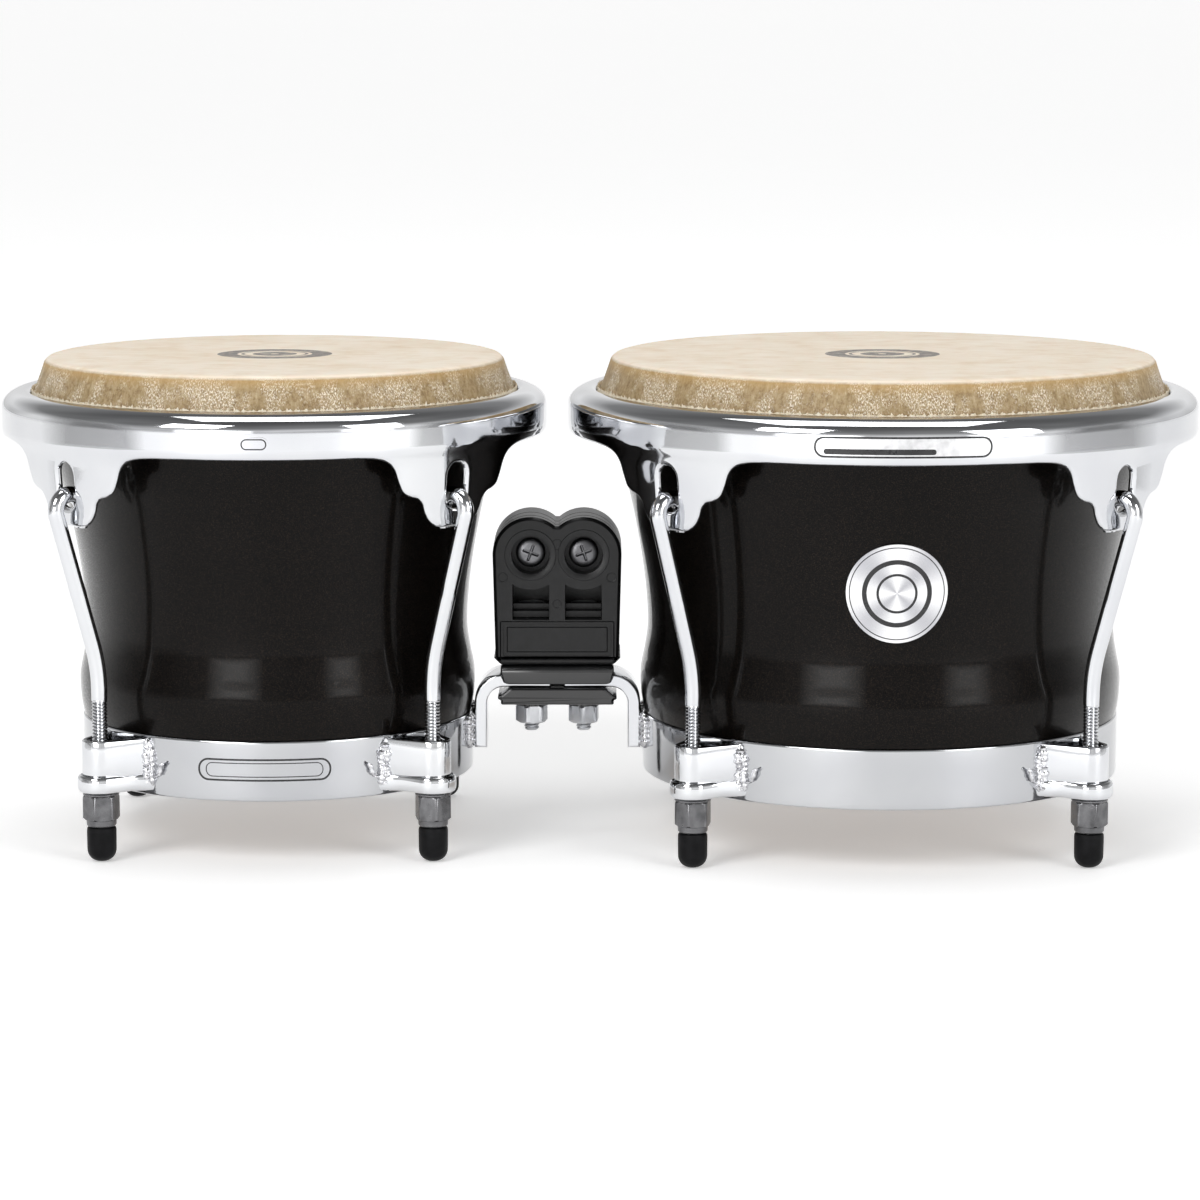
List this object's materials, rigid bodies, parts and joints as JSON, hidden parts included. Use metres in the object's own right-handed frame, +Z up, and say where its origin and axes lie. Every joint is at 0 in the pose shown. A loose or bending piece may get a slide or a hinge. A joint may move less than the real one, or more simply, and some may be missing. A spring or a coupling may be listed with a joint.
{
  "type": "bongo drums",
  "caption": "Bongo drums: waisted black shells with rawhide heads, chrome rims, hooked tension rods with tuning nuts, and a black clamp block joining the small drum to the large one.",
  "frame": {"origin": "on the floor plane under the rubber caps, midway between the outer edges of the two rims and on the line through both drums' axes", "axes": "+X from the small drum to the large drum, +Z up along the drums' axes, -Y the front with the badge and the clamp block's openings"},
  "size_m": [0.4548, 0.24, 0.1835],
  "materials": {
    "black_lacquer": "hardwood shell with a high-gloss black lacquer that holds fine dark-brown metallic flake",
    "rawhide": "natural buffalo-style rawhide, mottled cream on top and golden, fibrous and satin on the collar",
    "chrome": "bright chrome plate on pressed and bent steel",
    "nickel": "satin nickel-plated steel with softened edges",
    "rubber": "matt black moulded rubber",
    "black_plastic": "matt black moulded plastic with light chamfers",
    "black_steel": "gloss black paint on steel",
    "zinc_steel": "dull zinc-plated steel",
    "aluminium": "brushed aluminium"
  },
  "bodies": {
    "frame": {"macho_shell": "black_lacquer", "macho_skin": "rawhide", "macho_bottom_ring": "chrome", "macho_arm": "chrome", "macho_lug_bracket_1": "chrome", "macho_lug_bracket_2": "chrome", "macho_lug_bracket_3": "chrome", "macho_lug_bracket_4": "chrome", "hembra_shell": "black_lacquer", "hembra_skin": "rawhide", "hembra_bottom_ring": "chrome", "hembra_arm": "chrome", "hembra_lug_bracket_1": "chrome", "hembra_lug_bracket_2": "chrome", "hembra_lug_bracket_3": "chrome", "hembra_lug_bracket_4": "chrome", "hembra_badge": "aluminium", "clamp_block_front": "black_plastic", "clamp_block_rear": "black_plastic", "clamp_plate_upper": "black_steel", "clamp_plate_lower": "black_steel", "clamp_bolt_1": "zinc_steel", "clamp_bolt_2": "zinc_steel", "clamp_washer_1": "black_steel", "clamp_washer_2": "black_steel", "clamp_nut_1": "zinc_steel", "clamp_nut_2": "zinc_steel", "block_screw_1": "zinc_steel", "block_screw_2": "zinc_steel"},
    "macho_rim_set": {"macho_rim": "chrome", "macho_flesh_hoop": "zinc_steel", "macho_tension_rod_1": "chrome", "macho_rubber_cap_1": "rubber", "macho_tension_rod_2": "chrome", "macho_rubber_cap_2": "rubber", "macho_tension_rod_3": "chrome", "macho_rubber_cap_3": "rubber", "macho_tension_rod_4": "chrome", "macho_rubber_cap_4": "rubber"},
    "macho_nut_1": {"macho_tuning_nut_1": "nickel"},
    "macho_nut_2": {"macho_tuning_nut_2": "nickel"},
    "macho_nut_3": {"macho_tuning_nut_3": "nickel"},
    "macho_nut_4": {"macho_tuning_nut_4": "nickel"},
    "hembra_rim_set": {"hembra_rim": "chrome", "hembra_flesh_hoop": "zinc_steel", "hembra_tension_rod_1": "chrome", "hembra_rubber_cap_1": "rubber", "hembra_tension_rod_2": "chrome", "hembra_rubber_cap_2": "rubber", "hembra_tension_rod_3": "chrome", "hembra_rubber_cap_3": "rubber", "hembra_tension_rod_4": "chrome", "hembra_rubber_cap_4": "rubber"},
    "hembra_nut_1": {"hembra_tuning_nut_1": "nickel"},
    "hembra_nut_2": {"hembra_tuning_nut_2": "nickel"},
    "hembra_nut_3": {"hembra_tuning_nut_3": "nickel"},
    "hembra_nut_4": {"hembra_tuning_nut_4": "nickel"}
  },
  "joints": [
    {"name": "macho_rim_slide", "type": "slide", "parent": "frame", "child": "macho_rim_set", "axis": [0, 0, -1], "range_m": [0, 0.005]},
    {"name": "macho_nut_1_turn", "type": "hinge", "parent": "frame", "child": "macho_nut_1", "pos_m": [-0.06204, 0.06166, 0.0205], "axis": [0, 0, 1], "range_deg": [-1, 1441]},
    {"name": "macho_nut_2_turn", "type": "hinge", "parent": "frame", "child": "macho_nut_2", "pos_m": [-0.18536, 0.06166, 0.0205], "axis": [0, 0, 1], "range_deg": [-1, 1441]},
    {"name": "macho_nut_3_turn", "type": "hinge", "parent": "frame", "child": "macho_nut_3", "pos_m": [-0.18536, -0.06166, 0.0205], "axis": [0, 0, 1], "range_deg": [-1, 1441]},
    {"name": "macho_nut_4_turn", "type": "hinge", "parent": "frame", "child": "macho_nut_4", "pos_m": [-0.06204, -0.06166, 0.0205], "axis": [0, 0, 1], "range_deg": [-1, 1441]},
    {"name": "hembra_rim_slide", "type": "slide", "parent": "frame", "child": "hembra_rim_set", "axis": [0, 0, -1], "range_m": [0, 0.005]},
    {"name": "hembra_nut_1_turn", "type": "hinge", "parent": "frame", "child": "hembra_nut_1", "pos_m": [0.18059, 0.07319, 0.0205], "axis": [0, 0, 1], "range_deg": [-1, 1441]},
    {"name": "hembra_nut_2_turn", "type": "hinge", "parent": "frame", "child": "hembra_nut_2", "pos_m": [0.03421, 0.07319, 0.0205], "axis": [0, 0, 1], "range_deg": [-1, 1441]},
    {"name": "hembra_nut_3_turn", "type": "hinge", "parent": "frame", "child": "hembra_nut_3", "pos_m": [0.03421, -0.07319, 0.0205], "axis": [0, 0, 1], "range_deg": [-1, 1441]},
    {"name": "hembra_nut_4_turn", "type": "hinge", "parent": "frame", "child": "hembra_nut_4", "pos_m": [0.18059, -0.07319, 0.0205], "axis": [0, 0, 1], "range_deg": [-1, 1441]}
  ],
  "couplings": [
    {"joint": "macho_nut_1_turn", "follows": "macho_rim_slide", "rad_per_m": 5026.5},
    {"joint": "macho_nut_2_turn", "follows": "macho_rim_slide", "rad_per_m": 5026.5},
    {"joint": "macho_nut_3_turn", "follows": "macho_rim_slide", "rad_per_m": 5026.5},
    {"joint": "macho_nut_4_turn", "follows": "macho_rim_slide", "rad_per_m": 5026.5},
    {"joint": "hembra_nut_1_turn", "follows": "hembra_rim_slide", "rad_per_m": 5026.5},
    {"joint": "hembra_nut_2_turn", "follows": "hembra_rim_slide", "rad_per_m": 5026.5},
    {"joint": "hembra_nut_3_turn", "follows": "hembra_rim_slide", "rad_per_m": 5026.5},
    {"joint": "hembra_nut_4_turn", "follows": "hembra_rim_slide", "rad_per_m": 5026.5}
  ]
}
